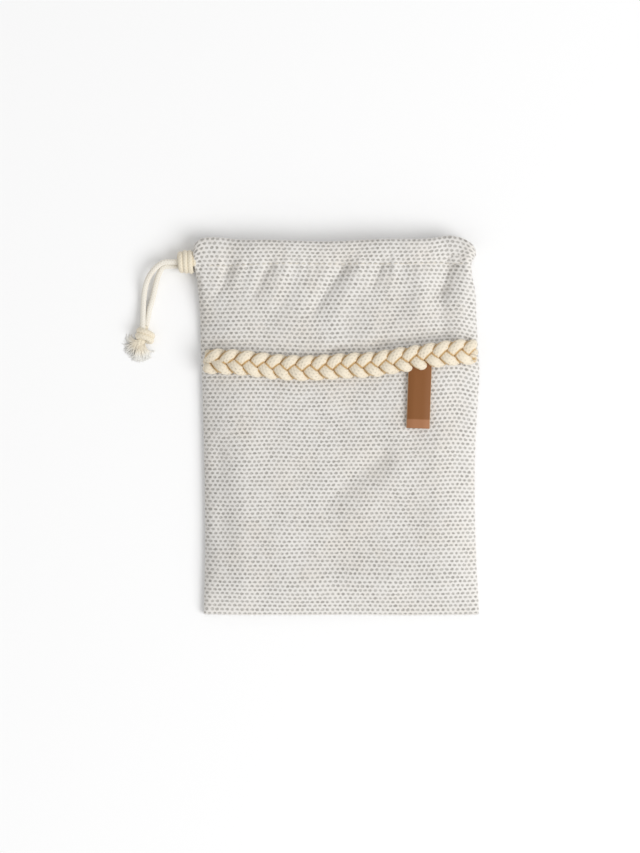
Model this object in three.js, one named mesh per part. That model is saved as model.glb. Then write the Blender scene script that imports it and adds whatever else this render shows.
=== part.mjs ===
// Drawstring gift pouch, lying on its back with its front up.
// Units are millimetres. +X runs across the pouch, +Y towards its mouth, +Z up.
// The origin is under the middle of the pouch, on the surface it lies on.

import * as THREE from 'three';

// ---------------------------------------------------------------- driving sizes

const POUCH_TOP = 89.4;            // the mouth's edge, and minus this the bottom edge
const CLOTH = 0.9;                 // thickness of one layer of the woven cloth
const GAP = 0.3;                   // air kept between pieces that touch on the real pouch

// Side edges from the bottom corner up to the casing, as [y, x].
const LEFT_EDGE = [[-89.4, -62.6], [-11, -62.4], [36, -64], [68, -65.4], [76, -66.9]];
const RIGHT_EDGE = [[-89.4, 66.9], [-45, 65.5], [-7, 65.8], [26, 66.9], [50, 66.2], [76, 64]];

const EDGE_UNDERSIDE = 3.3;        // height of the front panel's underside along the seams
const CROWN_UNDERSIDE = 9.4;       // and over the hollow inside
const FLANK = [9, 20];             // distances in from a seam where the front panel bends
const FLANK_UNDERSIDE = 7.2;       // its height at the first of them

const CASING_BOTTOM = 76.4;        // where the casing's row of stitches lies
const CASING_DEPTH = 4.5;          // thickness of a casing with the cord inside
const CASING_WALL = 0.6;
const CASING_LEFT = -60;
const CASING_RIGHT = 58;
const MOUTH_GAP = 4.8;             // how far the two casings stand apart at mid width
const MOUTH_CORNER = 60;           // where the front casing leaves the back one
const MOUTH_OPEN = 36;             // and where it has risen by the whole gap

const SEAM_WIDTH = 7.2;            // seam allowance turned to the inside
const SEAM_DEPTH = 1.3;            // two layers of it pressed flat
const THREAD = 0.5;

const CORD_R = 1.325;
const CORD_SIDES = 8;
const CORD_IN_CASING = 81.4;       // y of the cord inside the casings
const CORD_BREAK = -50;            // x where the loop in the casings meets the two leads
const TURN_X = 58.6;               // where the cord turns back from front to back casing

const STOPPER_LEFT = -74.7;
const STOPPER_RIGHT = -67.3;
const STOPPER_R = 5.5;
const STOPPER_BORE = 3.5;
const STOPPER_Y = 77.3;
const STOPPER_Z = 5.65;
const LEADS_Y = 76.7;              // middle of the two leads in the stopper
const LEAD_SPREAD = [0.85, 1.25];  // each lead's offset from that middle in y and z
const LEAD_END = -79.9;
const TAIL_START = -80.3;

const BRAID_PITCH = 21.4;          // length in which one strand goes across and back
const BRAID_SWING = 4.3;           // how far a strand's middle goes to each side
const BRAID_WEAVE = 1.2;           // how far it goes up and down
const STRAND_HALF = [1.95, 0.8];   // half width and half thickness of a strand
const BRAID_ENDS = [-61, 65.6];
// Middle line of the braid across the front, as [x, y].
const BRAID_LINE = [[-61, 30.6], [-29, 27.8], [-14, 27.2], [18, 29], [40, 32.4], [56, 34.6], [66, 35.1]];

const LABEL_X = [33.2, 44.4];
const LABEL_Y = [-1.2, 24];
const LABEL_DEPTH = 2.1;           // a strip of leather folded double

// ---------------------------------------------------------------- materials

const finish = (color, roughness) => new THREE.MeshStandardMaterial({ color, roughness, metalness: 0 });
const cloth = () => finish(0xd8d4cc, 0.9);
const cordCotton = () => finish(0xece0c6, 0.85);
const braidCotton = () => finish(0xe6d3aa, 0.85);
const seamThread = () => finish(0xe8e2d4, 0.8);
const leather = () => finish(0x8c5d38, 0.55);

// ---------------------------------------------------------------- small helpers

// Value at t of a line through [t, value] points, flat beyond its ends.
function along(line, t) {
  if (t <= line[0][0]) return line[0][1];
  for (let i = 1; i < line.length; i++) {
    const [t0, v0] = line[i - 1];
    const [t1, v1] = line[i];
    if (t <= t1) return v0 + (v1 - v0) * (t - t0) / (t1 - t0);
  }
  return line[line.length - 1][1];
}

const range = (from, to, count) => Array.from({ length: count + 1 }, (_, i) => from + (to - from) * i / count);

function solid(corners, faces) {
  const geometry = new THREE.BufferGeometry();
  geometry.setAttribute('position', new THREE.Float32BufferAttribute(corners.flat(), 3));
  geometry.setIndex(faces.flat());
  return geometry;
}

// Two triangles for a four-sided face, its corners counter-clockwise from outside.
const quad = (a, b, c, d) => [a, b, c, a, c, d];

// A closed body through loops of points; each loop turns counter-clockwise when the
// next one lies towards the viewer.
function loft(loops) {
  const n = loops[0].length;
  const last = (loops.length - 1) * n;
  const faces = [];
  for (let i = 0; i + 1 < loops.length; i++) {
    for (let k = 0; k < n; k++) {
      const next = (k + 1) % n;
      faces.push(quad(i * n + k, i * n + next, (i + 1) * n + next, (i + 1) * n + k));
    }
  }
  for (let k = 1; k + 1 < n; k++) {
    faces.push([0, k + 1, k]);
    faces.push([last, last + k, last + k + 1]);
  }
  return solid(loops.flat(), faces);
}

// A tube with an outer and an inner loop at each station and open ends.
function hollowLoft(outer, inner) {
  const n = outer[0].length;
  const hollow = outer.length * n;
  const end = (outer.length - 1) * n;
  const faces = [];
  for (let k = 0; k < n; k++) {
    const next = (k + 1) % n;
    for (let i = 0; i + 1 < outer.length; i++) {
      const a = i * n;
      const b = a + n;
      faces.push(quad(a + k, a + next, b + next, b + k));
      faces.push(quad(hollow + a + next, hollow + a + k, hollow + b + k, hollow + b + next));
    }
    faces.push(quad(next, k, hollow + k, hollow + next));
    faces.push(quad(end + k, end + next, hollow + end + next, hollow + end + k));
  }
  return solid([...outer.flat(), ...inner.flat()], faces);
}

// A sheet of even thickness under a grid of points, its rows running along +X and
// following each other along +Y.
function sheetUnder(grid, thickness) {
  const rows = grid.length;
  const columns = grid[0].length;
  const top = grid.flat();
  const under = top.map(([x, y, z]) => [x, y, z - thickness]);
  const at = (r, c) => r * columns + c;
  const below = top.length;
  const faces = [];
  for (let r = 0; r + 1 < rows; r++) {
    for (let c = 0; c + 1 < columns; c++) {
      const [a, b, d, e] = [at(r, c), at(r, c + 1), at(r + 1, c + 1), at(r + 1, c)];
      faces.push(quad(a, b, d, e));
      faces.push(quad(below + e, below + d, below + b, below + a));
    }
  }
  const rim = [];
  for (let c = 0; c + 1 < columns; c++) rim.push([at(0, c), at(0, c + 1)]);
  for (let r = 0; r + 1 < rows; r++) rim.push([at(r, columns - 1), at(r + 1, columns - 1)]);
  for (let c = columns - 1; c > 0; c--) rim.push([at(rows - 1, c), at(rows - 1, c - 1)]);
  for (let r = rows - 1; r > 0; r--) rim.push([at(r, 0), at(r - 1, 0)]);
  for (const [a, b] of rim) faces.push(quad(b, a, below + a, below + b));
  return solid([...top, ...under], faces);
}

// A path sampled at its own points, so that close points make short steps.
class StationPath extends THREE.CatmullRomCurve3 {
  getUtoTmapping(u) {
    return u;
  }
}

function cordAlong(points) {
  const section = new THREE.Shape(range(0, CORD_SIDES - 1, CORD_SIDES - 1).map((k) => {
    const angle = 2 * Math.PI * k / CORD_SIDES;
    return new THREE.Vector2(CORD_R * Math.cos(angle), CORD_R * Math.sin(angle));
  }));
  const path = new StationPath(points.map((p) => new THREE.Vector3(...p)));
  return new THREE.ExtrudeGeometry(section, {
    steps: points.length - 1,
    curveSegments: 1,
    extrudePath: path,
  });
}

const pouch = new THREE.Group();

function add(name, geometry, material) {
  const mesh = new THREE.Mesh(geometry, material);
  mesh.name = name;
  pouch.add(mesh);
  return mesh;
}

// ---------------------------------------------------------------- shape of the front

const smooth = (t) => t * t * (3 - 2 * t);

// Height of the front casing's lowest face above the surface, along the mouth.
function casingBase(x) {
  const t = THREE.MathUtils.clamp((MOUTH_CORNER - Math.abs(x)) / (MOUTH_CORNER - MOUTH_OPEN), 0, 1);
  return CASING_DEPTH + GAP + (MOUTH_GAP - GAP) * smooth(t);
}

const FLANK_LINE = [[0, EDGE_UNDERSIDE], [FLANK[0], FLANK_UNDERSIDE], [FLANK[1], CROWN_UNDERSIDE]];
const MOUTH_ROW = CASING_BOTTOM - GAP;
const CASING_EDGE_Z = [1.3, 3.1];  // the casing's edge along the stitches, above its base

// Height of the front panel's upper face.
function frontTop(x, y) {
  const inFromSide = Math.min(x - along(LEFT_EDGE, y), along(RIGHT_EDGE, y) - x);
  const inFromBottom = y + POUCH_TOP;
  const crown = Math.min(along(FLANK_LINE, inFromSide), along(FLANK_LINE, inFromBottom)) + CLOTH;
  const mouth = casingBase(x) + CASING_EDGE_Z[0] + CLOTH;
  const rise = THREE.MathUtils.clamp((y - 45) / (MOUTH_ROW - 45), 0, 1);
  return crown + (mouth - crown) * rise;
}

// ---------------------------------------------------------------- panels and seams

function makePanels() {
  const frontRows = [-POUCH_TOP, -POUCH_TOP + FLANK[0], -POUCH_TOP + FLANK[1], -30, 10, 45, MOUTH_ROW];
  const grid = frontRows.map((y) => {
    const [left, right] = [along(LEFT_EDGE, y), along(RIGHT_EDGE, y)];
    const columns = [left, left + FLANK[0], left + FLANK[1], 0, right - FLANK[1], right - FLANK[0], right];
    return columns.map((x) => [x, y, frontTop(x, y)]);
  });
  add('front_panel', sheetUnder(grid, CLOTH), cloth());

  const outline = new THREE.Shape([
    ...LEFT_EDGE.slice(0, -1).map(([y, x]) => new THREE.Vector2(x, y)),
    new THREE.Vector2(LEFT_EDGE.at(-1)[1], MOUTH_ROW),
    new THREE.Vector2(RIGHT_EDGE.at(-1)[1], MOUTH_ROW),
    ...RIGHT_EDGE.slice(0, -1).reverse().map(([y, x]) => new THREE.Vector2(x, y)),
  ]);
  add('back_panel', new THREE.ExtrudeGeometry(outline, { depth: CLOTH, bevelEnabled: false }), cloth());
}

// A flat strip through [left x, right x, y] stations, between two heights.
function strip(stations, z0, z1) {
  return loft(stations.map(([x0, x1, y]) => [[x1, y, z0], [x0, y, z0], [x0, y, z1], [x1, y, z1]]));
}

function makeSeams() {
  const z0 = CLOTH + GAP;
  const z1 = z0 + SEAM_DEPTH;
  const threadZ = [z1 + GAP, z1 + GAP + 0.4];
  const inset = 0.8;
  const stitchLine = 3;
  const stations = [-80.5, -45, -11, 26, 50, 72];
  const sides = [['left', LEFT_EDGE, 1], ['right', RIGHT_EDGE, -1]];
  for (const [side, edge, inward] of sides) {
    const band = (from, to) => stations.map((y) => {
      const ends = [along(edge, y) + inward * from, along(edge, y) + inward * to];
      return [Math.min(...ends), Math.max(...ends), y];
    });
    add(`${side}_side_seam`, strip(band(inset, inset + SEAM_WIDTH), z0, z1), cloth());
    const thread = strip(band(stitchLine, stitchLine + THREAD), ...threadZ);
    add(`${side}_seam_stitching`, thread, seamThread());
  }
  const bottom = -POUCH_TOP + inset;
  const [x0, x1] = [-53, 57];
  add('bottom_seam', strip([[x0, x1, bottom], [x0, x1, bottom + SEAM_WIDTH]], z0, z1), cloth());
  const row = -POUCH_TOP + stitchLine;
  const thread = strip([[x0, x1, row], [x0, x1, row + THREAD]], ...threadZ);
  add('bottom_seam_stitching', thread, seamThread());
}

// ---------------------------------------------------------------- casings at the mouth

const CASING_STATIONS = [CASING_LEFT, -56, -52, -48, -44, -40, -36, 36, 40, 44, 48, 52, CASING_RIGHT];

// Section of a casing as [y, z above its base]; the front one is pinched along its
// stitches from both sides, the back one lies flat.
function casingSection(lower) {
  const d = CASING_DEPTH;
  return [[CASING_BOTTOM, lower], [79.6, 0], [87.4, 0], [POUCH_TOP, 1.5], [POUCH_TOP, 3],
    [87.4, d], [79.6, d], [CASING_BOTTOM, lower + 1.8]];
}

function channelSection() {
  const w = CASING_WALL;
  const d = CASING_DEPTH;
  return [[78.4, 1.9], [79.8, w], [87.1, w], [88.7, 1.8], [88.7, 2.7], [87.1, d - w], [79.8, d - w], [78.4, 2.5]];
}

function makeCasings() {
  const casing = (section, base) => {
    const loops = (points) => CASING_STATIONS.map((x) => points.map(([y, z]) => [x, y, base(x) + z]));
    return hollowLoft(loops(section), loops(channelSection()));
  };
  add('front_casing', casing(casingSection(CASING_EDGE_Z[0]), casingBase), cloth());
  add('back_casing', casing(casingSection(0), () => 0), cloth());

  const threadLine = (base) => {
    const [y0, y1] = [CASING_BOTTOM + 0.3, CASING_BOTTOM + 0.3 + THREAD];
    return loft(CASING_STATIONS.map((x) => {
      const [z0, z1] = [base(x), base(x) + 0.4];
      return [[x, y0, z0], [x, y1, z0], [x, y1, z1], [x, y0, z1]];
    }));
  };
  const lift = 0.8;                // clears the casing's slope where the thread lies
  const front = threadLine((x) => casingBase(x) + CASING_EDGE_Z[1] + lift);
  add('front_casing_stitching', front, seamThread());
  add('back_casing_stitching', threadLine(() => 1.8 + lift), seamThread());

  // At the right corner the casing runs on round the cord's turn.
  const [x0, x1, zTop] = [CASING_RIGHT + GAP, 65.4, 2 * CASING_DEPTH + GAP];
  const w = CASING_WALL;
  const wrap = new THREE.Shape([
    [x0, 0], [x1 - 2, 0], [x1, 2], [x1, zTop - 2], [x1 - 2, zTop], [x0, zTop],
    [x0, zTop - w], [x1 - 2.2, zTop - w], [x1 - w, zTop - 2.2], [x1 - w, 2.2], [x1 - 2.2, w], [x0, w],
  ].map(([x, z]) => new THREE.Vector2(x, z)));
  const length = POUCH_TOP - 77;
  const corner = new THREE.ExtrudeGeometry(wrap, { depth: length, bevelEnabled: false });
  corner.rotateX(Math.PI / 2);
  corner.translate(0, POUCH_TOP, 0);
  add('casing_corner', corner, cloth());
}

// ---------------------------------------------------------------- braid

function makeBraid() {
  const [x0, x1] = BRAID_ENDS;
  const steps = Math.round((x1 - x0) / BRAID_PITCH * 11);
  const [halfWidth, halfDepth] = STRAND_HALF;
  const section = range(0, 7, 7).map((k) => {
    const angle = 2 * Math.PI * (k + 0.5) / 8;
    return [halfWidth * Math.cos(angle), halfDepth * Math.sin(angle)];
  });
  const rise = GAP + halfDepth + BRAID_WEAVE + 0.1;
  ['a', 'b', 'c'].forEach((letter, strand) => {
    const loops = range(x0, x1, steps).map((x) => {
      const phase = 2 * Math.PI * (x / BRAID_PITCH + strand / 3);
      const line = along(BRAID_LINE, x);
      const y = line + BRAID_SWING * Math.sin(phase);
      const z = frontTop(x, line) + rise + BRAID_WEAVE * Math.sin(2 * phase);
      return section.map(([across, up]) => [x, y + across, z + up]);
    });
    add(`braid_strand_${letter}`, loft(loops), braidCotton());
  });

  // A short row of stitches over each end holds the braid down beside the side seam.
  const tack = (x) => {
    const line = along(BRAID_LINE, x);
    const z = frontTop(x, line) + rise + BRAID_WEAVE + halfDepth + GAP;
    const halfBar = BRAID_SWING + halfWidth;
    return loft([line - halfBar, line + halfBar].map((y) =>
      [[x + 0.4, y, z], [x - 0.4, y, z], [x - 0.4, y, z + 0.4], [x + 0.4, y, z + 0.4]]));
  };
  add('left_braid_tack', tack(x0 + 1.5), seamThread());
  add('right_braid_tack', tack(x1 - 1.5), seamThread());
}

// ---------------------------------------------------------------- leather label

function makeLabel() {
  const [x0, x1] = LABEL_X;
  const [y0, y1] = LABEL_Y;
  const z0 = frontTop(20, 0) + GAP;
  const fold = LABEL_DEPTH / 2;
  const side = [[y1, z0], [y1, z0 + LABEL_DEPTH]];
  for (const angle of range(90, 270, 4)) {
    const a = THREE.MathUtils.degToRad(angle);
    side.push([y0 + fold + fold * Math.cos(a), z0 + fold + fold * Math.sin(a)]);
  }
  add('leather_label', loft([x0, x1].map((x) => side.map(([y, z]) => [x, y, z]))), leather());
}

// ---------------------------------------------------------------- drawstring

// The cord from the left along the front casing, round the right corner and back.
function loopRoute() {
  const middle = CASING_DEPTH / 2;
  const runs = [CORD_BREAK, -46, -42, -38, -34, -24, -12, 0, 12, 24, 34, 38, 42, 46, 50, 54, TURN_X];
  const front = runs.map((x) => [x, CORD_IN_CASING, casingBase(x) + middle]);
  const [high, low] = [front.at(-1)[2], middle];
  const turnR = (high - low) / 2;
  const turn = range(0, Math.PI, 6).slice(1, -1).map((a) =>
    [TURN_X + turnR * Math.sin(a), CORD_IN_CASING, low + turnR + turnR * Math.cos(a)]);
  const back = [TURN_X, 46, 34, 22, 10, -2, -14, -26, -38, CORD_BREAK].map((x) => [x, CORD_IN_CASING, low]);
  return [...front, ...turn, ...back];
}

function makeDrawstring() {
  const middle = CASING_DEPTH / 2;
  const start = CORD_BREAK - GAP;
  const [dy, dz] = LEAD_SPREAD;
  const inStopper = (side) => [-67.5, -71, -75, LEAD_END].map((x) => [x, LEADS_Y + side * dy, STOPPER_Z + side * dz]);
  const casingZ = (x) => casingBase(x) + middle;
  add('drawstring_loop', cordAlong(loopRoute()), cordCotton());
  add('front_lead', cordAlong([
    [start, CORD_IN_CASING, casingZ(start)], [-54, CORD_IN_CASING, casingZ(-54)],
    [-58, CORD_IN_CASING, casingZ(-58)], [-61, 80.9, 7], [-64, 79, 6.95], ...inStopper(1),
  ]), cordCotton());
  add('back_lead', cordAlong([
    [start, CORD_IN_CASING, middle], [-54, CORD_IN_CASING, middle],
    [-58, CORD_IN_CASING, middle], [-61, 80.6, 2.5], [-64, 78, 3.7], ...inStopper(-1),
  ]), cordCotton());

  add('front_tail', cordAlong([
    [TAIL_START, 77.55, 6.9], [-81.3, 77.4, 6.9], [-83, 76.6, 6.7], [-85.2, 74.6, 6], [-87.5, 71.7, 5], [-89.3, 68, 3.9],
    [-90.4, 64, 2.9], [-91, 59.4, 2.2], [-91.2, 54.8, 3], [-91.3, 50.2, 3.8], [-91.2, 47.2, 4.4],
  ]), cordCotton());
  add('back_tail', cordAlong([
    [TAIL_START, 75.85, 4.4], [-81.1, 75.7, 4.4], [-82.5, 74.9, 4.2], [-84, 73, 3.6], [-85.6, 69.8, 2.8], [-86.8, 65.6, 2.1],
    [-87.8, 60.8, 1.6], [-88.7, 56, 1.4], [-89.4, 51.6, 1.4], [-90, 47.6, 1.4],
  ]), cordCotton());
}

// The cord wound three times round both leads, ending in a small dome.
function makeStopper() {
  const turns = 3;
  const dome = 1;
  const turn = (STOPPER_RIGHT - STOPPER_LEFT - dome) / turns;
  const outer = [new THREE.Vector2(STOPPER_R - 1.2, 0)];
  for (let i = 0; i < turns; i++) {
    const from = dome + i * turn;
    outer.push(new THREE.Vector2(STOPPER_R, from + turn * 0.25));
    outer.push(new THREE.Vector2(STOPPER_R, from + turn * 0.75));
    outer.push(new THREE.Vector2(STOPPER_R - 0.6, from + turn));
  }
  const length = STOPPER_RIGHT - STOPPER_LEFT;
  const profile = [
    new THREE.Vector2(STOPPER_BORE, 0), ...outer,
    new THREE.Vector2(STOPPER_BORE, length), new THREE.Vector2(STOPPER_BORE, 0),
  ];
  const coil = new THREE.LatheGeometry(profile, 16);
  coil.rotateZ(-Math.PI / 2);
  add('cord_stopper', coil, cordCotton()).position.set(STOPPER_LEFT, STOPPER_Y, STOPPER_Z);
}

// ---------------------------------------------------------------- end knot and frayed ends

function makeEnds() {
  const knot = new THREE.SphereGeometry(1, 14, 9);
  knot.scale(4.1, 3.6, 3.3);
  add('end_knot', knot, cordCotton()).position.set(-90.9, 42.9, 3.4);

  // Each cord end opens into a flat fan of threads lying on the surface.
  const fan = (neck, tip, halfWidths, heights) => {
    const direction = new THREE.Vector2(tip[0] - neck[0], tip[1] - neck[1]).normalize();
    const across = [direction.y, -direction.x];
    const rest = 0.15;
    return loft([neck, tip].map(([x, y], i) => {
      const [w, top] = [halfWidths[i], heights[i]];
      const left = [x + across[0] * w, y + across[1] * w];
      const right = [x - across[0] * w, y - across[1] * w];
      return [[...right, rest], [...right, top], [...left, top], [...left, rest]];
    }));
  };
  add('front_frayed_end', fan([-94, 40.4], [-99, 35.2], [1, 3.2], [2.6, 1.3]), cordCotton());
  add('back_frayed_end', fan([-91.6, 38.8], [-91, 31.4], [1, 3.4], [2.6, 1.3]), cordCotton());
}

makePanels();
makeSeams();
makeCasings();
makeBraid();
makeLabel();
makeDrawstring();
makeStopper();
makeEnds();

export default pouch;
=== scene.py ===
import functools
import math
import random

import bpy
import numpy as np
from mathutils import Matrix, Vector
from mathutils.bvhtree import BVHTree


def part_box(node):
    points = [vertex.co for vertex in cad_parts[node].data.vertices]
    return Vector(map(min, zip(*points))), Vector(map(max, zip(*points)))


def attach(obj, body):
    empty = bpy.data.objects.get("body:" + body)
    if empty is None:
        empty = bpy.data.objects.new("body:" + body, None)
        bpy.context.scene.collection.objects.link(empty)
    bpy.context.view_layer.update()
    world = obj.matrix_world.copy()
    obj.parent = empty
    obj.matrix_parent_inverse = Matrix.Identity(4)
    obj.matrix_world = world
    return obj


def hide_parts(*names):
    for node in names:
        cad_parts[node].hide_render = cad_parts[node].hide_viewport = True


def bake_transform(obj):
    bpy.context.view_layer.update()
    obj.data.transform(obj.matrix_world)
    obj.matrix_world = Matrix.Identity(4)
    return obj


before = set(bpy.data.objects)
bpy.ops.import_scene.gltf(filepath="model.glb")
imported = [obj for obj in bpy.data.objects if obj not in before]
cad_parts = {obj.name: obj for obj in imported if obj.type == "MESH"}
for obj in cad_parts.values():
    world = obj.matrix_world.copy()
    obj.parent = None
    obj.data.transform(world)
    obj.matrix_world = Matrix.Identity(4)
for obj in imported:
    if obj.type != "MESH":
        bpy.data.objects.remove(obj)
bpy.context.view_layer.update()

# ------------------------------------------------------------------ table, light and camera
# The pouch lies on its back on a white table under a wide soft light, and the camera
# looks straight down on it. Lengths in this file are millimetres until a mesh is made.

MM = 0.001
TABLE_SIZE = 14000
CAMERA_OVER = (-7.7, -0.3)         # the point under the camera
CAMERA_LENS = 100
CAMERA_SENSOR = 36
VIEW_HEIGHT = 403.2                # what the picture takes in from top to bottom
FRONT_HEIGHT = 8                   # the height at which it takes in that much
TABLE_Z = -0.05                    # just under the pouch, so that the two faces don't meet
TABLE_WHITE = (0.95, 0.95, 0.95, 1)
SURROUND_LIGHT = 0.65
LAMP_PLACE = (1.75, -0.85, 2.0)    # metres: beside the pouch's lower right corner and above it
LAMP_ACROSS = 2.0
LAMP_POWER = 48

scene = bpy.context.scene
scene.view_settings.view_transform = "Standard"


def mm(x, y, z):
    return (x * MM, y * MM, z * MM)


def add_node(tree, kind, **settings):
    """A node with its settings; a name with capitals is an input, any other a property."""
    node = tree.nodes.new("ShaderNode" + kind)
    for name, value in settings.items():
        if name[0].isupper():
            node.inputs[name.replace("_", " ")].default_value = value
        else:
            setattr(node, name, value)
    return node


def new_material(name):
    """A material with an empty tree but for its Principled BSDF and output."""
    material = bpy.data.materials.new(name)
    material.use_nodes = True
    material.node_tree.nodes.clear()
    shader = add_node(material.node_tree, "BsdfPrincipled")
    output = add_node(material.node_tree, "OutputMaterial")
    material.node_tree.links.new(shader.outputs[0], output.inputs["Surface"])
    return material, material.node_tree, shader


def add_piece(name, points, faces, material, weave=None, wound=False, slot=None, nodes=()):
    """A smooth mesh piece from points in millimetres, with its weave coordinates as a UV map.

    On a wound piece the first coordinate counts turns, so it runs on past 1 where a turn closes.
    """
    mesh = bpy.data.meshes.new(name)
    mesh.from_pydata((np.asarray(points, float) * MM).tolist(), [], [list(map(int, f)) for f in faces])
    mesh.polygons.foreach_set("use_smooth", [True] * len(mesh.polygons))
    if weave is not None:
        corners = np.empty(len(mesh.loops), int)
        mesh.loops.foreach_get("vertex_index", corners)
        places = np.asarray(weave, float)[corners]
        if wound:
            starts = np.empty(len(mesh.polygons), int)
            sizes = np.empty(len(mesh.polygons), int)
            mesh.polygons.foreach_get("loop_start", starts)
            mesh.polygons.foreach_get("loop_total", sizes)
            widest = np.maximum.reduceat(places[:, 0], starts) - np.minimum.reduceat(places[:, 0], starts)
            places[:, 0] += (np.repeat(widest, sizes) > 0.5) & (places[:, 0] < 0.5)
        layer = mesh.uv_layers.new(name="weave")
        layer.data.foreach_set("uv", places.ravel())
    mesh.materials.append(material)
    piece = bpy.data.objects.new(name, mesh)
    scene.collection.objects.link(piece)
    if slot:
        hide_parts(*nodes)
    return piece


table_material, tree, shader = new_material("white table")
shader.inputs["Base Color"].default_value = TABLE_WHITE
shader.inputs["Roughness"].default_value = 0.9
half = TABLE_SIZE / 2
corners = [(-half, -half, TABLE_Z), (half, -half, TABLE_Z), (half, half, TABLE_Z), (-half, half, TABLE_Z)]
add_piece("table", corners, [(0, 1, 2, 3)], table_material)

world = bpy.data.worlds.new("soft surround")
world.use_nodes = True
surround = world.node_tree.nodes["Background"]
surround.inputs["Color"].default_value = (1, 1, 1, 1)
surround.inputs["Strength"].default_value = SURROUND_LIGHT
scene.world = world

lamp = bpy.data.lights.new("window light", "AREA")
lamp.shape = "DISK"
lamp.size = LAMP_ACROSS
lamp.energy = LAMP_POWER
lamp_object = bpy.data.objects.new("window light", lamp)
lamp_object.location = LAMP_PLACE
lamp_object.rotation_euler = (-Vector(LAMP_PLACE)).to_track_quat("-Z", "Y").to_euler()
scene.collection.objects.link(lamp_object)

camera = bpy.data.cameras.new("camera")
camera.lens = CAMERA_LENS
camera.sensor_width = CAMERA_SENSOR
camera.clip_start = 0.01
camera.clip_end = 20
camera_object = bpy.data.objects.new("camera", camera)
distance = VIEW_HEIGHT * CAMERA_LENS / CAMERA_SENSOR
camera_object.location = mm(*CAMERA_OVER, FRONT_HEIGHT + distance)
scene.collection.objects.link(camera_object)
scene.camera = camera_object

# ------------------------------------------------------------------ drawstring
# One round plaited cotton cord. It runs through both casings, turns round the right
# corner, and leaves the mouth at the left, where its two ends go on as loose tails.

CORD_D = 2.65
CORD_SIDES = 24
CORD_STEP = 0.3
CORD_CREAM = (0.86, 0.825, 0.745, 1)
KNOT_CREAM = (0.82, 0.745, 0.60, 1)
CORD_SHADE = (0.60, 0.49, 0.335, 1)
PLAIT_LENGTH = 5.2                 # length of one turn of a strand of the plait
PLAIT_STRANDS = 4                  # strands going round each way
PLAIT_RELIEF = 0.05
EXIT_X = -80.3                     # where the leads leave the stopper and the tails begin
STILL, DRAWN = -40, -66            # where a lead doesn't move yet, and where it moves wholly

FRONT_TAIL = [
    (EXIT_X, 77.55, 6.9), (-81.4, 77.4, 6.9), (-83.3, 76.6, 6.7), (-86.1, 74.3, 6), (-88.6, 71.0, 5),
    (-90.1, 67.6, 3.9), (-91.0, 64, 2.9), (-91.5, 59.4, 2.2), (-91.7, 54.8, 2.6), (-91.8, 50.2, 3.4),
    (-91.8, 47.4, 3.9), (-91.8, 45.4, 3.9),
]
BACK_TAIL = [
    (EXIT_X, 75.85, 4.4), (-81.1, 75.7, 4.4), (-82.5, 74.9, 4.2), (-83.7, 73, 3.6), (-85.0, 69.8, 2.8),
    (-86.1, 65.6, 2.1), (-87.2, 60.8, 1.6), (-88.6, 56, 1.4), (-89.5, 51.6, 1.4), (-90.2, 47.8, 1.4),
    (-90.7, 45.4, 1.8),
]


def route(points, step=CORD_STEP):
    """Even steps along a smooth curve through the points."""
    points = np.asarray(points, float)
    padded = np.vstack([2 * points[0] - points[1], points, 2 * points[-1] - points[-2]])
    fine = []
    for a, b, c, d in zip(padded, padded[1:], padded[2:], padded[3:]):
        for t in np.linspace(0, 1, 24, endpoint=False):
            fine.append(0.5 * (2 * b + (c - a) * t + (2 * a - 5 * b + 4 * c - d) * t**2
                               + (3 * b - a - 3 * c + d) * t**3))
    fine = np.array(fine + [points[-1]])
    run = np.append(0, np.cumsum(np.linalg.norm(np.diff(fine, axis=0), axis=1)))
    count = max(2, round(run[-1] / step) + 1)
    even = np.linspace(0, run[-1], count)
    return np.column_stack([np.interp(even, run, fine[:, k]) for k in range(3)])


def run_along(points):
    return np.append(0, np.cumsum(np.linalg.norm(np.diff(points, axis=0), axis=1)))


def ways_along(points):
    """Unit vectors along a line of points."""
    ways = np.gradient(points, axis=0)
    return ways / np.linalg.norm(ways, axis=1)[:, None]


def ring_faces(rings, sides):
    """Faces between rings of points, each of so many sides."""
    faces = []
    for start in range(0, (rings - 1) * sides, sides):
        for k in range(sides):
            a, b = start + k, start + (k + 1) % sides
            faces.append((a, b, b + sides, a + sides))
    return faces


def tube(centres, radius, sides=CORD_SIDES, taper=None, run=None, relief=0.0):
    """Points, faces and weave coordinates (turns round, length along) of a closed round tube."""
    centres = np.asarray(centres, float)
    ahead = ways_along(centres)
    side = np.cross(ahead[0], (0.13, 0.21, 0.97))
    run = run_along(centres) if run is None else run
    turns = np.arange(sides) / sides
    points = []
    for i, (centre, way) in enumerate(zip(centres, ahead)):
        side = side - way * side.dot(way)
        side /= np.linalg.norm(side)
        up = np.cross(way, side)
        wound = run[i] / PLAIT_LENGTH * PLAIT_STRANDS
        plait = np.maximum(np.sin(2 * np.pi * (turns * PLAIT_STRANDS + wound)),
                           np.sin(2 * np.pi * (turns * PLAIT_STRANDS - wound)))
        r = radius * (1 if taper is None else taper[i]) + relief * (plait - 0.5)
        angle = 2 * np.pi * turns
        points += list(centre + (r * np.cos(angle))[:, None] * side + (r * np.sin(angle))[:, None] * up)
    n = len(centres)
    weave = [(k / sides, run[i]) for i in range(n) for k in range(sides)]
    faces = ring_faces(n, sides)
    first = len(points)
    points += [centres[0], centres[-1]]
    weave += [(0, run[0]), (0, run[-1])]
    for k in range(sides):
        b = (k + 1) % sides
        faces.append((first, b, k))
        faces.append((first + 1, (n - 1) * sides + k, (n - 1) * sides + b))
    return points, faces, weave


def feed(node, values):
    """Gives each of a node's inputs a plain value or the output of another node."""
    for key, value in values:
        if isinstance(value, (tuple, int, float)):
            node.inputs[key].default_value = value
        else:
            node.id_data.links.new(value, node.inputs[key])


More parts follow.
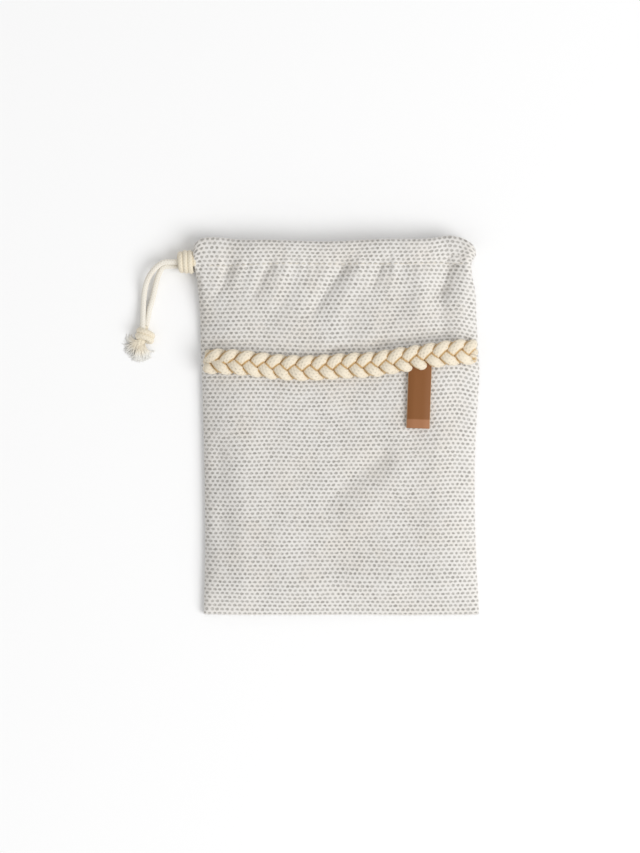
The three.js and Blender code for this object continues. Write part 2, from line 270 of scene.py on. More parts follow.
def maths(operation, *values, clamp=False):
    """A Math node in the tree of its first value, which is another node's output."""
    node = add_node(values[0].id_data, "Math", operation=operation, use_clamp=clamp)
    feed(node, enumerate(values))
    return node.outputs[0]


times = functools.partial(maths, "MULTIPLY")
plus = functools.partial(maths, "ADD")
times_plus = functools.partial(maths, "MULTIPLY_ADD")
sine = functools.partial(maths, "SINE")
cosine = functools.partial(maths, "COSINE")


def mix_colour(amount, low, high):
    """One colour between two; each is a node's output or a plain colour."""
    node = add_node(amount.id_data, "Mix", data_type="RGBA")
    feed(node, ((0, amount), (6, low), (7, high)))
    return node.outputs[2]


def band(value, low, high):
    """0 below low, 1 above high, smooth between."""
    node = add_node(value.id_data, "MapRange", interpolation_type="SMOOTHSTEP")
    feed(node, (("From Min", low), ("From Max", high), ("Value", value)))
    return node.outputs[0]


def texture(place, kind, **settings):
    node = add_node(place.id_data, "Tex" + kind, **settings)
    feed(node, [("Vector", place)])
    return node


def paint(shader, colour):
    feed(shader, [("Base Color", colour)])


def add_bump(shader, height, distance, strength=1.0):
    node = add_node(height.id_data, "Bump", Strength=strength, Distance=distance)
    feed(node, [("Height", height)])
    feed(shader, [("Normal", node.outputs[0])])


# Fine cotton fibre: a soft mottle of tint and a matching fuzz of height, for every cotton here.
fibre = bpy.data.node_groups.new("cotton fibre", "ShaderNodeTree")
for name, kind, default in (("Vector", "NodeSocketVector", None), ("Fineness", "NodeSocketFloat", 900.0)):
    socket = fibre.interface.new_socket(name, in_out="INPUT", socket_type=kind)
    if default:
        socket.default_value = default
for name in ("Tint", "Fuzz"):
    fibre.interface.new_socket(name, in_out="OUTPUT", socket_type="NodeSocketFloat")
group_in = fibre.nodes.new("NodeGroupInput")
group_out = fibre.nodes.new("NodeGroupOutput")
patches = texture(group_in.outputs["Vector"], "Noise", Scale=60.0, Detail=3.0, Roughness=0.6)
hairs = texture(group_in.outputs["Vector"], "Noise", Detail=4.0, Roughness=0.7)
feed(hairs, [("Scale", group_in.outputs["Fineness"])])
mottle = add_node(fibre, "Math", operation="MULTIPLY_ADD")
half_hairs = times(hairs.outputs["Fac"], 0.5)
feed(mottle, ((0, patches.outputs["Fac"]), (1, 0.5), (2, half_hairs)))
feed(group_out, (("Tint", mottle.outputs[0]), ("Fuzz", hairs.outputs["Fac"])))


def add_fibre(tree, fineness):
    """The cotton fibre group in a material, reading the place on the piece."""
    place = add_node(tree, "TexCoord")
    node = tree.nodes.new("ShaderNodeGroup")
    node.node_tree = fibre
    node.inputs["Fineness"].default_value = fineness
    tree.links.new(place.outputs["Object"], node.inputs["Vector"])
    return node


def weave_place(tree):
    """The place in the weave, and its two coordinates: across or in turns, and along."""
    uv = add_node(tree, "UVMap", uv_map="weave")
    parts = add_node(tree, "SeparateXYZ")
    tree.links.new(uv.outputs[0], parts.inputs[0])
    return uv.outputs[0], parts.outputs["X"], parts.outputs["Y"]


def cotton_shader(shader, roughness=0.88, sheen=0.35):
    feed(shader, (("Roughness", roughness), ("Specular IOR Level", 0.25), ("Sheen Weight", sheen),
                  ("Sheen Roughness", 0.5)))


def plaited_cotton(name, cream, shade):
    """Cotton cord: strands wound both ways round it, with painted shade in the grooves between them."""
    material, tree, shader = new_material(name)
    cotton_shader(shader)
    _, turns, length = weave_place(tree)
    turns = times(turns, 2 * math.pi * PLAIT_STRANDS)
    length = times(length, 2 * math.pi * PLAIT_STRANDS / PLAIT_LENGTH)
    one_way = sine(plus(turns, length))
    other_way = sine(maths("SUBTRACT", turns, length))
    strands = maths("MAXIMUM", one_way, other_way)
    fibres = add_fibre(tree, 1400.0)
    # Painted shade in the grooves between the strands, mixed with the fibre's soil tint.
    groove = band(times(strands, -1), -0.45, 0.9)
    soiled = times(band(fibres.outputs["Tint"], 0.42, 0.7), 0.25)
    groove_shade_and_soil = plus(times(groove, 0.28), soiled, clamp=True)
    paint(shader, mix_colour(groove_shade_and_soil, cream, shade))
    height = times_plus(fibres.outputs["Fuzz"], 0.5, strands)
    add_bump(shader, height, 0.00010, 0.6)
    return material


cord_cotton = plaited_cotton("plaited cotton cord", CORD_CREAM, CORD_SHADE)
knotted_cotton = plaited_cotton("plaited cotton cord, knotted", KNOT_CREAM, CORD_SHADE)

FRONT_LEAD = [
    (-24, 82.4, 11.5), (-35, 82.4, 11.3), (-40, 81.3, 10.2), (-44.5, 79.2, 8.5), (-48.5, 77.8, 7.2),
    (-52, 77.55, 6.9), (-66, 77.55, 6.9), (-81.2, 77.55, 6.9),
]
BACK_LEAD = [
    (-24, 82.4, 2.4), (-35, 82.4, 2.4), (-40, 81.2, 2.6), (-44.5, 78.4, 3.2), (-48.5, 76.3, 4.1),
    (-52, 75.85, 4.4), (-66, 75.85, 4.4), (-81.2, 75.85, 4.4),
]
LOOP = [
    (-24, 82.4, 11.5), (0, 82.4, 11.55), (34, 82.4, 11.4), (41, 82, 10.6), (49, 81.6, 8.4), (56, 81.4, 7.3),
    (59.2, 81.4, 7.0), (61, 81.4, 5.9), (61.4, 81.4, 4.7), (60.9, 81.4, 3.4), (59, 81.4, 2.45),
    (56, 81.5, 2.35), (41, 82, 2.4), (0, 82.4, 2.4), (-24, 82.4, 2.4),
]
GATHER_LEFT, GATHER_RIGHT = -66, 66
GATHER_LOW, GATHER_HIGH = 45, 89.4
PULL = 40                          # how far the drawstring is pulled at most


def add_cord(name, node, centres, run=None, taper=None, material=cord_cotton):
    points, faces, weave = tube(centres, CORD_D / 2, run=run, taper=taper, relief=PLAIT_RELIEF)
    return add_piece(name, points, faces, material, weave, True, "cord_cotton", [node])


def gather(piece):
    """Bakes the piece's placement into its mesh."""
    way = np.array([1 / (GATHER_RIGHT - GATHER_LEFT), 1 / (GATHER_HIGH - GATHER_LOW)])
    way /= way.dot(way)
    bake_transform(piece)


# The leads come out of the casing as the mouth closes, so the part of each that is still
# inside is drawn out with them, and its plait is evenest when it is outside.
leads = {}
tails = {}
for side, lead_points, tail_points in (("front", FRONT_LEAD, FRONT_TAIL), ("back", BACK_LEAD, BACK_TAIL)):
    centres = route(lead_points)
    drawn = np.clip((STILL - centres[:, 0]) / (STILL - DRAWN), 0, 1)
    pulled = centres - np.outer(drawn * drawn * (3 - 2 * drawn) * PULL, (1, 0, 0))
    run = run_along(pulled)
    taper = np.where(centres[:, 0] < EXIT_X - 0.1, 0.9, 1)
    leads[side] = add_cord(side + "_lead_cord", side + "_lead", centres, run, taper)
    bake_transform(leads[side])

    run_out = float(np.interp(-EXIT_X, -centres[:, 0], run))
    centres = route(tail_points)
    piece = add_cord(side + "_tail_cord", side + "_tail", centres, run_along(centres) + run_out)
    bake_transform(piece)
    tails[side] = (piece, centres)

loop = add_cord("casing_cord", "drawstring_loop", route(LOOP))
gather(loop)

# ------------------------------------------------------------------ stopper
# A short length of the same cord wound three times round both leads and tucked in at
# its ends. It grips the leads and slides along them to hold the mouth shut.

STOPPER_LOW, STOPPER_HIGH = (np.array(corner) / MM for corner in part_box("cord_stopper"))
STOPPER_TILT = math.radians(-3)    # it leans a little, away from the way its turns lean
TURN_R = 4.25                      # from the stopper's axis to the middle of the cord
TURN_PITCH = 2.2
COIL_FROM, COIL_TO = -60, 1210     # degrees wound, a little over three turns

centre = (STOPPER_LOW + STOPPER_HIGH) / 2 + (0.35, 0.4, 0)
coil = []
for degrees in range(COIL_FROM, COIL_TO, 10):
    turns = degrees / 360
    inward = 1.15 * max(0, 0.75 - turns) ** 1.5 + max(0, turns - 2.85) * 2.6
    angle = math.radians(degrees)
    reach = TURN_R - inward
    across, up = reach * math.cos(angle), reach * math.sin(angle)
    run = TURN_PITCH * (turns - 1.55)
    x = run * math.cos(STOPPER_TILT) - across * math.sin(STOPPER_TILT)
    y = run * math.sin(STOPPER_TILT) + across * math.cos(STOPPER_TILT)
    coil.append(centre + (x, y, up))
stopper = add_cord("wound_stopper", "cord_stopper", route(coil), material=knotted_cotton)
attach(stopper, "stopper")

# ------------------------------------------------------------------ end knot and frayed ends
# Both tails are tied together in one overhand knot. Past it each cord's strands are
# combed out into a flat fan of soft threads that lies on the table.

KNOT_CORE = [(-91.4, 47.2, 2.6), (-91.4, 45, 2.5), (-91.8, 42.8, 2.3), (-92.7, 40.6, 2.1), (-93.4, 38.9, 1.9)]
KNOT_WRAP = [
    (-90.2, 40.9, 1.6), (-92.4, 42.0, 1.5), (-93.7, 43.5, 2.3), (-93.7, 44.2, 4.2), (-92.3, 43.9, 5.6),
    (-90.4, 43.3, 5.8), (-88.6, 42.5, 5.0), (-87.6, 41.7, 3.6), (-88.0, 41.2, 2.2), (-89.6, 41.6, 1.5),
]
# The direction in which the two cords lie side by side, and half the distance between them.
CORE_PAIR = ((0.9, 0.3, 0.0), 0.75)
WRAP_PAIR = ((0.25, 0.97, 0.0), 1.15)


def pair(points, way, spread):
    """Two cords side by side along a route."""
    centres = route(points)
    return [tube(centres + sign * spread * np.array(way), CORD_D / 2, relief=PLAIT_RELIEF)
            for sign in (-1, 1)]


def join_parts(parts):
    """One list of points, faces and weave coordinates from several."""
    points, faces, weave = [], [], []
    for part_points, part_faces, part_weave in parts:
        faces += [tuple(k + len(points) for k in face) for face in part_faces]
        points += list(part_points)
        weave += list(part_weave)
    return points, faces, weave


points, faces, weave = join_parts(pair(KNOT_CORE, *CORE_PAIR) + pair(KNOT_WRAP, *WRAP_PAIR))
knot = add_piece("overhand_knot", points, faces, knotted_cotton, weave, True, "cord_cotton", ["end_knot"])
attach(knot, "tails")

FRAY_CREAM = (0.80, 0.725, 0.59, 1)
FRAY_PALE = (0.85, 0.835, 0.79, 1)
FRAY_BUNDLES = 8
FRAY_THREADS = 13                  # threads in a bundle
FRAY_TAPER = [1, 1, 1, 1, 1, 1, 0.95, 0.85, 0.7, 0.35]
FRAY_FLOOR = 0.27                  # a thread's middle, where it lies on the table
fray_cotton, tree, shader = new_material("frayed cotton threads")
cotton_shader(shader, 0.9, 0.5)
_, _, length = weave_place(tree)
fibres = add_fibre(tree, 2000.0)
tip = band(length, 2.0, 8.0)
uneven = times_plus(fibres.outputs["Tint"], 0.8, -0.4)
paling = plus(tip, uneven, clamp=True)
paint(shader, mix_colour(paling, FRAY_CREAM, FRAY_PALE))
add_bump(shader, fibres.outputs["Fuzz"], 0.0001)


def frayed_end(name, node, neck, spread, seed):
    """A fan of bundles of fine threads from the neck; spread gives (direction, reach) across it."""
    draw = random.Random(seed)
    angles = [math.radians(a) for a, _ in spread]
    reaches = [r for _, r in spread]
    places = np.linspace(0, 1, len(spread))
    parts = []
    for bundle in range(FRAY_BUNDLES):
        middle = (bundle + 0.5 + draw.uniform(-0.15, 0.15)) / FRAY_BUNDLES
        lift = draw.uniform(0.1, 1.0)
        curl = draw.gauss(0, 0.3)
        for _ in range(FRAY_THREADS):
            t = middle + draw.gauss(0, 0.20) / FRAY_BUNDLES
            aim = np.interp(t, places, angles)
            reach = np.interp(t, places, reaches) * draw.uniform(0.72, 1.04)
            stray = draw.gauss(0, 0.07)
            hook = draw.gauss(0, 0.6)
            root = (draw.gauss(0, 0.5), draw.gauss(0, 0.35))
            level = draw.uniform(0, 0.9)
            centres = []
            for s in np.linspace(0, 1, len(FRAY_TAPER)):
                way = aim + (curl + stray) * (s - 0.4) + stray + hook * max(0, s - 0.7)
                x = neck[0] + root[0] * (1 - s) + reach * s * math.cos(way)
                y = neck[1] + root[1] * (1 - s) + reach * s * math.sin(way)
                rise = (lift + level) * math.sin(math.pi * min(1, s * 1.15)) ** 0.8 if s < 0.87 else 0
                centres.append((x, y, FRAY_FLOOR + neck[2] * (1 - s) ** 1.5 + rise * 0.8))
            size = draw.uniform(0.16, 0.26)
            parts.append(tube(centres, size, 5, taper=FRAY_TAPER))
    points, faces, weave = join_parts(parts)
    piece = add_piece(name, points, faces, fray_cotton, weave, True, "cord_cotton", [node])
    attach(piece, "tails")
    return piece


front_fray = frayed_end("front_fringe", "front_frayed_end", (-93.4, 39.6, 2.4),
                        [(155, 6.0), (180, 8.2), (215, 8.6), (248, 8.8)], 3)
back_fray = frayed_end("back_fringe", "back_frayed_end", (-92.7, 39.4, 2.0),
                       [(242, 9.0), (265, 9.2), (290, 8.6), (314, 8.2)], 8)

on_the_cords = {"front": [leads["front"], stopper, knot, front_fray], "back": [leads["back"], back_fray]}
for side, extra in on_the_cords.items():
    piece, centres = tails[side]

# ------------------------------------------------------------------ front and back cloth
# Two pieces of coarse cotton cloth, plain woven from a pale and a grey yarn; the grey in the
# weave's hollows is deepened with painted shade. Each one's top edge is turned over to the
# inside and sewn down, which makes the casing. They are sewn together at the sides and the
# bottom, and the front stands a little off the back.

CLOTH = 0.8
SEAM_Z = 2.1                       # height of the seams, where front and back meet
DOT_PITCH = 2.42                   # from one grey float to the next along a row
ROW_PITCH = 1.90                   # from one row to the next
CROWN_Z = 9.9                      # height of the front's middle layer over the hollow inside
LOW_Z = 3.8                        # the same just inside a seam
RISE_OVER = 20                     # how far in from a seam the front has risen
LEVEL_FROM = 45                    # the y from which it evens out towards the mouth
MOUTH_LOW = 7.5                    # height of the front casing's middle at the mouth's ends
MOUTH_ARCH = 4.05                  # how much higher it is between them
HUG_LIFT = 1.5                     # the front casing's lift at its ends, where the hem lies in it
FRONT_ENDS_Z = (8.9, 4.9)          # height of the front's edge at the mouth's left and right end
BACK_ENDS_Z = (1.6, 4.7)           # the same for the back
OFF_TABLE = 0.05                   # between the back and the table
POUCH_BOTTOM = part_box("front_panel")[0][1] / MM
EDGE_ROLL = 3.0                    # how far in from a seam the cloth has turned flat
ROLL_CLOTH = 4.2                   # cloth in that turn
CASING_HALF = 1.95                 # half depth of a casing, to the middle of its cloth
CASING_TALL = 12.3                 # from its stitches to the mouth, used for its cloth
CASING_RISE = 12                   # the same, used for finding the pouch's sides beside it
CASING_SQUARE = 0.75               # below 1 its section is squarer than an oval
TURNED_IN = 1.05 * CLOTH           # how far inside the outer layer the turned hem lies
FOLD_DEPTH = 1.5                   # multiplies the heights of the folds below
PUCKER_DEPTH = 0.7
WANDER = 0.45                      # how far the yarns wander
ROW_SLOPE = 0.35                   # how much the rows follow the braid's slope
POUCH_WIDTH = 132                  # with the cloth's own swell over the 130 of its bottom edge
STITCHES_Y = 76                    # where the casing's stitches are, on the whole
PANEL_CLOTH = STITCHES_Y - POUCH_BOTTOM - EDGE_ROLL

# The pouch's outline and lines: (y, x) up the sides, (x, y) across it.
LEFT_EDGE = [(-90, -62.6), (-63, -61.9), (-11, -62.4), (12, -63), (36, -63.9), (59, -64.6),
             (71, -65.8), (77, -66.8), (83, -67.3), (90, -66.6)]
RIGHT_EDGE = [(-90, 67.4), (-82, 67.1), (-63, 66.1), (-45, 65.6), (-26, 65.4), (-7, 65.8), (12, 66.9),
              (26, 67.6), (38, 67.0), (50, 66.3), (64, 65.6), (72.5, 63.9), (77.5, 63.8), (83, 65.7),
              (90, 65.4)]
TOP_EDGE = [(-67.5, 83.5), (-66.5, 85.6), (-64.6, 87.6), (-61, 88.7), (-57, 88.8), (-45.5, 87.6),
            (-31, 87.4), (-17, 86.9), (-5, 86.6), (4, 86.9), (23, 87.8), (44, 88.1), (54.7, 89.5),
            (58.5, 88.7), (62, 87.0), (64.6, 84.9), (66, 83)]
BOTTOM_EDGE = [(-63, -89.2), (-40, -89.5), (0, -89.4), (40, -89.6), (67.5, -89.3)]
STITCH_LINE = [(-67, 75.3), (-50, 75.4), (-30, 76.2), (0, 76), (30, 76.2), (55, 76.6), (66, 76.2)]
BRAID_LINE = [(-62, 30.7), (-44, 29.7), (-29, 27.9), (-14.7, 27.2), (-3, 27.8), (4, 28.3), (18, 29),
              (27.8, 30.6), (39.6, 32.3), (56, 34.6), (67, 35.1)]

# Soft folds in the front: from (x, y) to (x, y), then half width and height.
FOLDS = [
    (-51, 75, -56, 62, 2.4, -1.2), (-45, 76, -48, 66, 2.4, 0.7),
    (-32, 76, -39, 62, 2.6, -1.3), (-24, 75, -31, 58, 3.2, 0.8),
    (3, 75, -11, 55, 3.0, -1.7), (11, 75, -1, 50, 4.0, 0.9),
    (21, 76, 17, 66, 2.4, -1.2), (28, 76, 25, 64, 2.6, 0.7),
    (55, 78, 49, 63, 3.2, -1.8), (49, 63, 51, 42, 4.2, -1.9), (41, 72, 38, 50, 5.0, 1.1),
    (61, 68, 60, 40, 3.6, 0.8), (-18, 70, -34, 46, 5.0, -0.5), (34, 62, 22, 46, 5.0, -0.5),
    (-60, 38.6, 0, 36, 2.6, -1.0), (0, 36, 62, 43, 3.0, -1.4), (22, 39, 50, 42.6, 4.0, -1.2),
    (22, -14, -4, -36, 5.0, -0.9), (30, -20, 8, -46, 6.0, 0.7),
    (-40, 12, -10, -6, 7.0, 0.6), (38, -4, 62, -22, 6.0, -0.6), (-8, 4, 18, -8, 6.0, -0.5),
    (-50, -30, -20, -52, 8.0, 0.5), (10, -60, 50, -74, 7.0, -0.5), (-56, -10, -50, -70, 5.0, -0.5),
]

# Small puckers along the stitches and the mouth: how tightly each one waves, and where it starts.
PUCKERS = [(0.72, 0.3), (1.13, 1.9), (0.47, 4.0), (1.61, 2.2)]

# Slow waves all over the cloth: how they run, where they start, and how high they are.
wave_draw = random.Random(11)
WAVES = []
for _ in range(14):
    length = wave_draw.uniform(16, 46)
    turn = wave_draw.uniform(0, math.pi)
    WAVES.append((2 * math.pi * math.cos(turn) / length, 2 * math.pi * math.sin(turn) / length,
                  wave_draw.uniform(0, 2 * math.pi), 0.004 * length))

# A casing's section goes from its stitches up its outer side, over the mouth and back down
# inside; this is the cloth used up to each angle of the way round.
casing_angle = np.linspace(0, 2 * math.pi, 400)
casing_run = run_along(np.column_stack([CASING_TALL * np.sin(casing_angle / 2),
                                        CASING_HALF * np.sin(casing_angle)]))
CASING_CLOTH = casing_run[-1]


def through(line, t):
    """The value at t of a smooth curve through (t, value) points."""
    ts, values = np.array(line, float).T
    slopes = np.gradient(values, ts)
    t = np.clip(t, ts[0], ts[-1])
    i = np.clip(np.searchsorted(ts, t) - 1, 0, len(ts) - 2)
    h = ts[i + 1] - ts[i]
    u = (t - ts[i]) / h
    return ((2 * u**3 - 3 * u**2 + 1) * values[i] + (u**3 - 2 * u**2 + u) * h * slopes[i]
            + (3 * u**2 - 2 * u**3) * values[i + 1] + (u**3 - u**2) * h * slopes[i + 1])


def smooth(t):
    t = np.clip(t, 0, 1)
    return t * t * (3 - 2 * t)


def folds_at(x, y):
    total = np.zeros_like(x)
    for x0, y0, x1, y1, width, height in FOLDS:
        dx, dy = x1 - x0, y1 - y0
        t = np.clip(((x - x0) * dx + (y - y0) * dy) / (dx * dx + dy * dy), 0, 1)
        off = np.hypot(x - x0 - t * dx, y - y0 - t * dy)
        total += FOLD_DEPTH * height * np.exp(-(off / width) ** 2) * (1 - 0.5 * t)
    return total


def waves_at(x, y, shift=0.0):
    return sum(size * np.sin(kx * x + ky * y + phase + shift) for kx, ky, phase, size in WAVES)


def puckers_at(x):
    return sum(np.sin(k * x + phase) for k, phase in PUCKERS) / 4


def casing_middle(x):
    """Height of the middle of the front casing along the mouth."""
    return MOUTH_LOW + MOUTH_ARCH * smooth((60 - np.abs(x)) / 24)


def rise_from(e):
    """How far the front has risen, from 0 at a seam to 1 over the hollow inside."""
    return np.sin(math.pi / 2 * np.clip(e / RISE_OVER, 0, 1))


def front_z(x, y, edges, theta, bulge, hug):
    """Height of the front: crowned over the hollow inside, level along the mouth, turned in there."""
    left, right, bottom, stitches, top = edges
    inside = np.clip(theta / math.pi - 1, 0, 1)
    from_side = np.minimum(x - left, right - x)
    crown = LOW_Z + (CROWN_Z - LOW_Z) * rise_from(from_side) * rise_from(y - bottom)
    mouth = casing_middle(x) + HUG_LIFT * hug
    panel = crown + (mouth - crown) * smooth((y - LEVEL_FROM) / (stitches - LEVEL_FROM))
    relief = (folds_at(x, y) + waves_at(x, y)) * smooth(np.minimum(from_side, y - bottom) / 8)
    pucker = puckers_at(x) * np.exp(-((y - stitches) / 5.0) ** 2) * 0.7
    pucker += puckers_at(x * 0.6 + 7) * np.exp(-((y - top) / 6.0) ** 2) * 0.4
    level = panel + (relief + PUCKER_DEPTH * pucker) * (1 - inside)
    hem = bulge * (1 - hug) + (np.abs(bulge) - CLOTH) * hug - TURNED_IN * inside * (1 - hug)
    return level + np.where(theta <= math.pi, bulge, hem)


def back_z(theta, bulge, hug):
    """Height of the back: flat on the table, and turned in at the mouth."""
    inside = np.clip(theta / math.pi - 1, 0, 1)
    lowest = CLOTH / 2 + OFF_TABLE
    outer = lowest + (CASING_HALF - np.sqrt(np.abs(bulge) * CASING_HALF)) * smooth(theta / 0.5)
    settle = CASING_HALF * (1 - smooth(inside * 2 - 1))
    hem = lowest + settle - bulge + TURNED_IN * inside
    hem_at_ends = CLOTH * 1.6 + OFF_TABLE + CASING_HALF * (1 - smooth(inside * 6))
    return np.where(theta <= math.pi, outer, hem * (1 - hug) + hem_at_ends * hug)


def cloth_surface(u, v, is_front):
    """Places of the middle of the cloth; u runs across it and v from the bottom seam up."""
    # How far round the seams' rolls and the casing each place is.
    turn_v = np.clip(v / ROLL_CLOTH, 0, 1) * math.pi / 2
    on_panel = np.clip((v - ROLL_CLOTH) / PANEL_CLOTH, 0, 1)
    theta = np.interp(np.clip(v - ROLL_CLOTH - PANEL_CLOTH, 0, CASING_CLOTH), casing_run, casing_angle)
    reach = np.sin(theta / 2)
    width = u.max()
    turn_u = np.minimum(np.clip(u / ROLL_CLOTH, 0, 1), np.clip((width - u) / ROLL_CLOTH, 0, 1))
    turn_u = turn_u * math.pi / 2
    share = np.clip((u - ROLL_CLOTH) / (width - 2 * ROLL_CLOTH), 0, 1)
    roll_in = EDGE_ROLL * (1 - np.cos(turn_u))
    roll_up = EDGE_ROLL * (1 - np.cos(turn_v))

    # Where it is across the pouch and up it.
    near_y = POUCH_BOTTOM + roll_up + on_panel * PANEL_CLOTH + reach * CASING_RISE
    left, right = through(LEFT_EDGE, near_y), through(RIGHT_EDGE, near_y)
    on_flat = left + EDGE_ROLL + share * (right - left - 2 * EDGE_ROLL)
    x = np.where(share < 0.5, left + roll_in, right - roll_in)
    x = np.where((share > 0) & (share < 1), on_flat, x)
    bottom, stitches, top = through(BOTTOM_EDGE, x), through(STITCH_LINE, x), through(TOP_EDGE, x)
    y = bottom + roll_up + on_panel * (stitches - bottom - EDGE_ROLL) + reach * (top - stitches)

    # How high it is; at the mouth's ends the turned hem hugs the outer layer.
    hug = np.maximum(1 - smooth((x + 56) / 6), smooth((x - 50) / 7))
    bulge = np.sign(np.sin(theta)) * np.abs(np.sin(theta)) ** CASING_SQUARE * CASING_HALF
    if is_front:
        z = front_z(x, y, (left, right, bottom, stitches, top), theta, bulge, hug)
    else:
        z = back_z(theta, bulge, hug)
    ends = FRONT_ENDS_Z if is_front else BACK_ENDS_Z
    seam = SEAM_Z + (np.where(share < 0.5, *ends) - SEAM_Z) * smooth((y - 68) / 8)
    z = seam + (z - seam) * np.sin(turn_u) * np.sin(turn_v)

    # The yarns wander, and their rows follow the braid's slope.
    e = np.minimum(np.minimum(x - left, right - x), y - bottom)
    swing = WANDER * smooth(e / 14) * (1 - smooth((y - 64) / 10))
    rows = ROW_SLOPE * (through(BRAID_LINE, x) - 30) * np.exp(-((y - 30) / 34) ** 2) * smooth(e / 10)
    x = x + swing * waves_at(y * 1.3, x * 1.3, 2.0)
    y = y + swing * waves_at(x, y, 4.0) + np.where(theta > 0, 0, rows)
    return np.stack([x, y, z], axis=-1)


def surface_normals(places):
    normals = np.cross(np.gradient(places, axis=1), np.gradient(places, axis=0))
    return normals / np.maximum(np.linalg.norm(normals, axis=-1), 1e-9)[..., None]


def grid_faces(rows, columns, start, flip):
    r, c = np.meshgrid(np.arange(rows - 1), np.arange(columns - 1), indexing="ij")
    a = (start + r * columns + c).ravel()
    order = [a, a + 1, a + columns + 1, a + columns]
    return np.stack(order[::-1] if flip else order, axis=1).tolist()


def rim_faces(fine, coarse, ratio, flip):
    """Closes the edge between a fine and a coarse row of points."""
    faces = []
    middle = ratio // 2
    for j in range(len(coarse) - 1):
        run = fine[j * ratio:(j + 1) * ratio + 1]
        faces += [(run[i], run[i + 1], coarse[j] if i < middle else coarse[j + 1]) for i in range(ratio)]
        faces.append((run[middle], coarse[j + 1], coarse[j]))
    return [tuple(reversed(f)) for f in faces] if flip else faces


def closed_layer(outer, inner, ratio, weave, flip=False):
    """A closed slab from its outer grid of points and a plainer inner one, every ratio-th point of it."""
    rows, columns = outer.shape[:2]
    few_rows, few_columns = inner.shape[:2]
    start = rows * columns
    points = np.vstack([outer.reshape(-1, 3), inner.reshape(-1, 3)])
    coordinates = np.vstack([weave.reshape(-1, 2), weave[::ratio, ::ratio].reshape(-1, 2)])
    faces = grid_faces(rows, columns, 0, flip) + grid_faces(few_rows, few_columns, start, not flip)
    top = np.arange(start).reshape(rows, columns)
    under = start + np.arange(few_rows * few_columns).reshape(few_rows, few_columns)
    for fine, coarse, turned in ((top[0], under[0], True), (top[-1], under[-1], False),
                                 (top[:, 0], under[:, 0], False), (top[:, -1], under[:, -1], True)):
        faces += rim_faces(fine, coarse, ratio, turned != flip)
    return points, faces, coordinates


def make_cloth(name, is_front, steps, relief, nodes):
    """A sheet of cloth: a fine outer face with the weave's relief and a plainer inner one."""
    ratio = 3
    width = POUCH_WIDTH - 2 * EDGE_ROLL + 2 * ROLL_CLOTH
    length = ROLL_CLOTH + PANEL_CLOTH + CASING_CLOTH
    columns = round(width / DOT_PITCH * steps[0] / ratio) * ratio + 1
    rows = round(length / ROW_PITCH * steps[1] / ratio) * ratio + 1
    u, v = np.meshgrid(np.linspace(0, width, columns), np.linspace(0, length, rows))
    places = cloth_surface(u, v, is_front)
    outward = surface_normals(places) * (1 if is_front else -1)
    height = -relief * np.cos(2 * math.pi * u / DOT_PITCH) * np.cos(math.pi * v / ROW_PITCH)
    outer = places + outward * (CLOTH / 2 + height)[..., None]
    inner = (places - outward * CLOTH / 2)[::ratio, ::ratio]
    points, faces, weave = closed_layer(outer, inner, ratio, np.stack([u, v], -1), not is_front)
    piece = add_piece(name, points, faces, woven_cloth, weave, False, "woven_cloth", nodes)
    gather(piece)
    return points, faces


YARN_PALE = (0.765, 0.745, 0.715, 1)
YARN_WARM = (0.745, 0.685, 0.61, 1)
GREY_YARN_AND_SHADE = (0.40, 0.38, 0.35, 1)
DARK_YARN_AND_SHADE = (0.24, 0.225, 0.20, 1)
woven_cloth, tree, shader = new_material("coarse woven cotton")
cotton_shader(shader, 0.92, 0.25)
weave, across, along = weave_place(tree)
fibres = add_fibre(tree, 1500.0)
# No two floats are alike: a slow drift in the weave's lines, and a tint for each float.
drift = texture(weave, "Noise", noise_dimensions="2D", Scale=0.55, Detail=1.0)
sway = times_plus(drift.outputs["Fac"], 0.6, -0.3)
across = plus(across, sway)
along = plus(along, times(sway, 0.6))
turn_along = times(along, math.pi / ROW_PITCH)
cos_across = cosine(times(across, 2 * math.pi / DOT_PITCH))
floats = times(cos_across, cosine(turn_along))
rows = cosine(times(turn_along, 2.0))
shape = times_plus(rows, 0.55, times(floats, 0.68))
tints = texture(weave, "Voronoi", voronoi_dimensions="2D", Scale=1 / 1.9)
tint = add_node(tree, "SeparateXYZ")
feed(tint, [(0, tints.outputs["Color"])])
ragged = texture(weave, "Noise", noise_dimensions="2D", Scale=1.6, Detail=1.0)
uneven = times_plus(ragged.outputs["Fac"], 1.0, -0.5)
uneven = plus(uneven, times_plus(tint.outputs["X"], 0.3, -0.15))
# The grey in the weave's hollows is partly the grey yarn and partly painted shade; in some hollows a painted
# highlight lightens the middle.
grey_and_shade_mask = band(plus(shape, uneven), -0.18, 0.55)
heart = band(plus(shape, uneven), 0.8, 1.25)
heart_highlight = times(heart, band(tint.outputs["Z"], 0.35, 0.9))
grey = mix_colour(band(tint.outputs["Y"], 0.2, 1.0), GREY_YARN_AND_SHADE, DARK_YARN_AND_SHADE)
warm = band(fibres.outputs["Tint"], 0.44, 0.64)
pale = mix_colour(times(warm, 0.45), YARN_PALE, YARN_WARM)
shown = times(grey_and_shade_mask, times_plus(heart_highlight, -0.3, 0.78))
paint(shader, mix_colour(shown, pale, grey))
yarn_height = times_plus(shape, -0.5, 0.5)
yarn_height = times_plus(fibres.outputs["Fuzz"], 0.25, yarn_height)
add_bump(shader, yarn_height, 0.00035, 0.6)

front_points, front_faces = make_cloth("front_cloth", True, (6, 2), 0.16, ["front_panel", "front_casing"])
make_cloth("back_cloth", False, (4, 1.5), 0.12, ["back_panel", "back_casing", "casing_corner"])

# ------------------------------------------------------------------ seam allowances
# Past each seam the edges of front and back lie together on the inside, and a thread is
# wound over the cut edge so that it can't fray.

